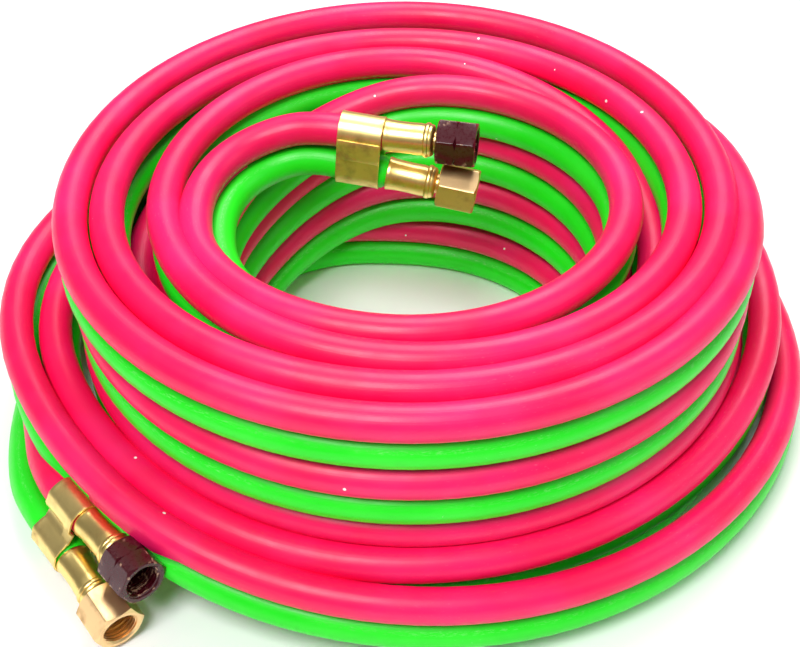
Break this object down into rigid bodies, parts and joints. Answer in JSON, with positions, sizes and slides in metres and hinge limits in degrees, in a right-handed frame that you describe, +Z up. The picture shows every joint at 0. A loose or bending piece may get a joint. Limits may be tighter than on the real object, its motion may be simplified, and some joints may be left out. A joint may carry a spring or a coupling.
{
  "type": "coiled twin welding hose",
  "caption": "Twin-line gas welding hose, fuel and oxygen hoses bonded side by side, wound in a loose round coil, with crimped swivel nut fittings and band clamps on both ends.",
  "frame": {"origin": "middle of the coil's foot, on the floor, at the centre of the object's plan box", "axes": "+Z up, along the coil's winding axis; -Y towards the side where the outer hose end lies; the hoses wind anticlockwise seen from above from the inner end to the outer"},
  "size_m": [0.3359, 0.3042, 0.1214],
  "materials": {
    "fuel_rubber": "smooth extruded rubber cover with a soft satin gloss",
    "oxygen_rubber": "smooth extruded rubber cover with a soft satin gloss",
    "braid": "braided textile yarn",
    "liner_rubber": "matt black rubber tube",
    "ferrule_brass": "crimped bright brass",
    "nipple_brass": "turned brass",
    "band_brass": "strip brass with brown tarnish",
    "fuel_nut": "glossy dark maroon lacquer on brass",
    "oxygen_nut": "brushed tan brass bar"
  },
  "bodies": {
    "hose_set": {"hose_coil": "fuel_rubber", "hose_tail_fuel_inner": "fuel_rubber", "hose_cover_fuel_inner": "fuel_rubber", "hose_braid_fuel_inner": "braid", "hose_liner_fuel_inner": "liner_rubber", "ferrule_fuel_inner": "ferrule_brass", "nipple_fuel_inner": "nipple_brass", "hose_tail_oxygen_inner": "oxygen_rubber", "hose_cover_oxygen_inner": "oxygen_rubber", "hose_braid_oxygen_inner": "braid", "hose_liner_oxygen_inner": "liner_rubber", "ferrule_oxygen_inner": "ferrule_brass", "nipple_oxygen_inner": "nipple_brass", "hose_tail_fuel_outer": "fuel_rubber", "hose_cover_fuel_outer": "fuel_rubber", "hose_braid_fuel_outer": "braid", "hose_liner_fuel_outer": "liner_rubber", "ferrule_fuel_outer": "ferrule_brass", "nipple_fuel_outer": "nipple_brass", "hose_tail_oxygen_outer": "oxygen_rubber", "hose_cover_oxygen_outer": "oxygen_rubber", "hose_braid_oxygen_outer": "braid", "hose_liner_oxygen_outer": "liner_rubber", "ferrule_oxygen_outer": "ferrule_brass", "nipple_oxygen_outer": "nipple_brass", "band_clamp_inner": "band_brass", "band_clamp_outer": "band_brass"},
    "nut_fuel_inner": {"swivel_nut_fuel_inner": "fuel_nut"},
    "nut_oxygen_inner": {"swivel_nut_oxygen_inner": "oxygen_nut"},
    "nut_fuel_outer": {"swivel_nut_fuel_outer": "fuel_nut"},
    "nut_oxygen_outer": {"swivel_nut_oxygen_outer": "oxygen_nut"}
  },
  "joints": [
    {"name": "nut_spin_fuel_inner", "type": "hinge", "parent": "hose_set", "child": "nut_fuel_inner", "pos_m": [0.0153, 0.01692, 0.11242], "axis": [0.9837, -0.1797, -0.0105], "continuous": true},
    {"name": "nut_spin_oxygen_inner", "type": "hinge", "parent": "hose_set", "child": "nut_oxygen_inner", "pos_m": [0.01607, 0.01586, 0.09167], "axis": [0.9746, -0.1833, -0.1287], "continuous": true},
    {"name": "nut_spin_fuel_outer", "type": "hinge", "parent": "hose_set", "child": "nut_fuel_outer", "pos_m": [-0.10219, -0.12755, 0.02904], "axis": [0.6539, -0.7562, 0.0236], "continuous": true},
    {"name": "nut_spin_oxygen_outer", "type": "hinge", "parent": "hose_set", "child": "nut_oxygen_outer", "pos_m": [-0.11116, -0.13423, 0.01184], "axis": [0.6021, -0.7948, -0.0759], "continuous": true}
  ]
}
